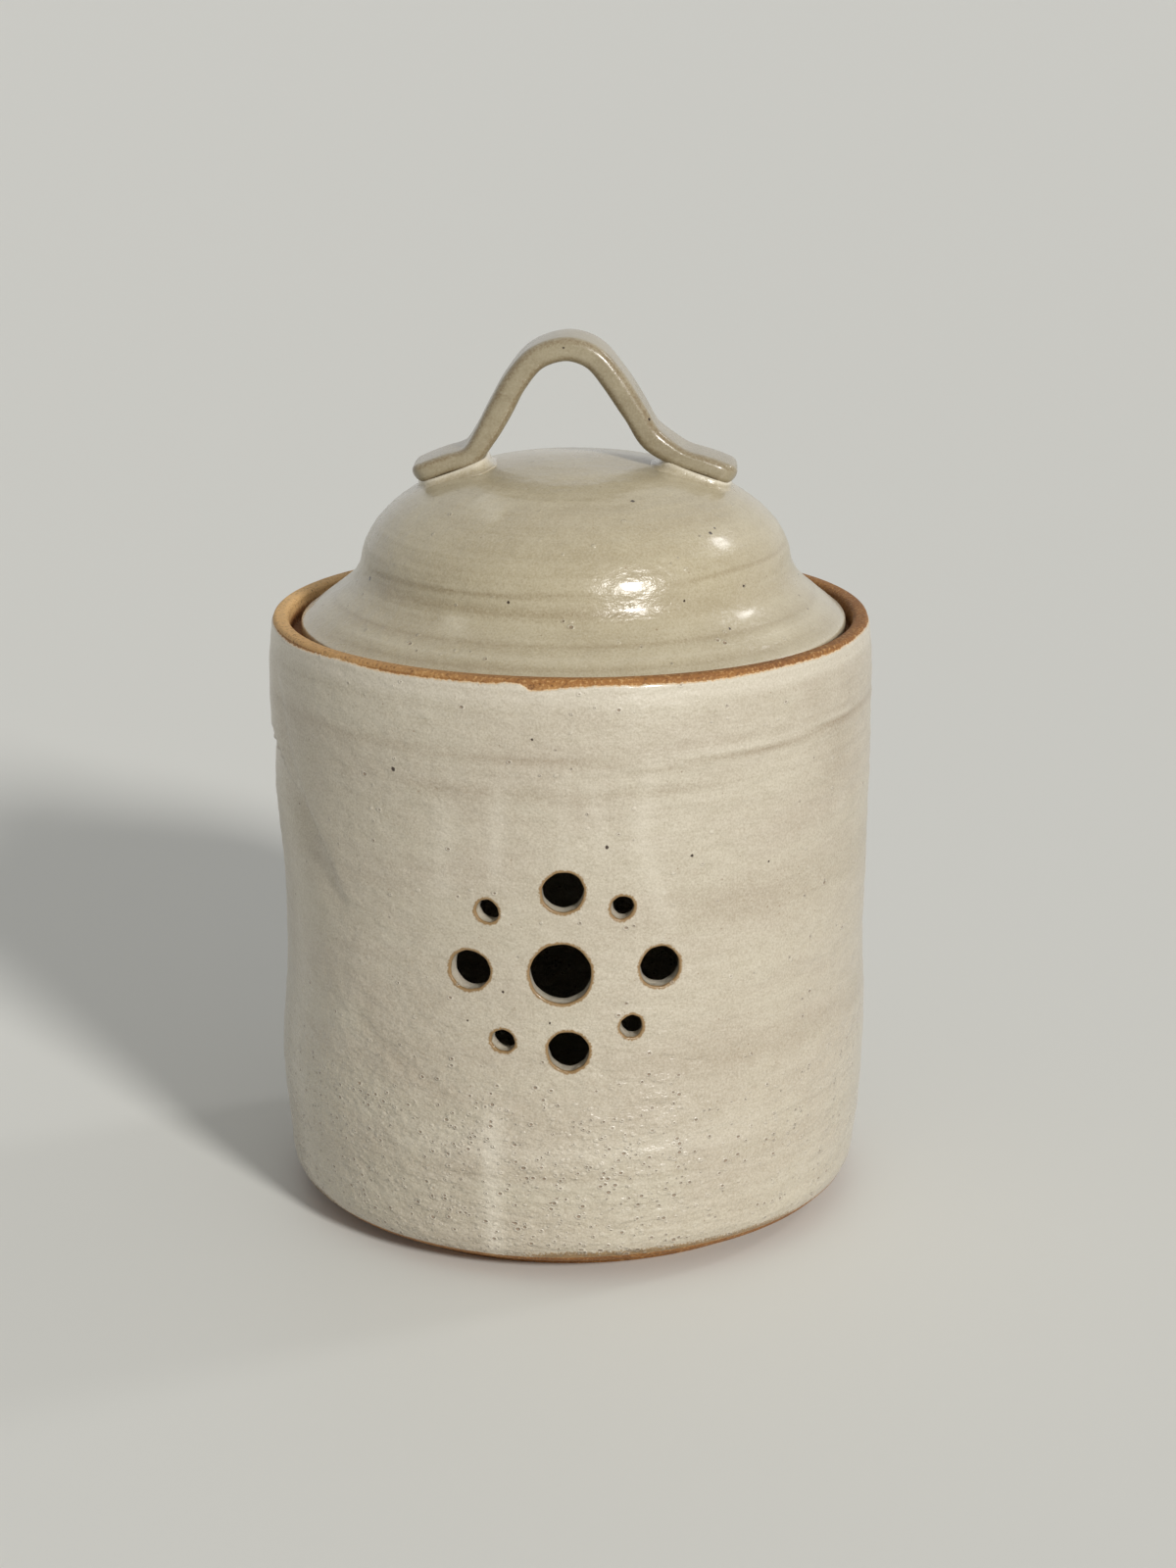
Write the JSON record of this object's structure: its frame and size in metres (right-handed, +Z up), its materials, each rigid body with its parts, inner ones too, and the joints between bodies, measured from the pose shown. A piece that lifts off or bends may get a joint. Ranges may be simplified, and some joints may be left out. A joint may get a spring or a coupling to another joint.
{
  "type": "garlic keeper",
  "caption": "Stoneware garlic keeper: a round thrown jar with air vents cut through its front, and a loose domed lid with a strap handle that sits inside the rim.",
  "frame": {"origin": "middle of the foot ring's underside", "axes": "+Z up the jar's axis, the vents face -Y, the handle lies along X"},
  "size_m": [0.143, 0.143, 0.2067],
  "materials": {
    "jar_glaze": "satin oatmeal glaze over bare brown clay at rim and foot",
    "lid_glaze": "glossy oatmeal glaze, bare clay on the seat",
    "handle_glaze": "glossy glaze, browner where it is thin",
    "slip_glaze": "glossy pale glaze pooled on slip"
  },
  "bodies": {
    "jar": {"jar": "jar_glaze"},
    "lid": {"lid": "lid_glaze", "handle": "handle_glaze", "slip_bed_left": "slip_glaze", "slip_bed_right": "slip_glaze"}
  },
  "joints": [
    {"name": "lid_lift", "type": "slide", "parent": "jar", "child": "lid", "axis": [0, 0, 1], "range_m": [0, 0.06]}
  ]
}
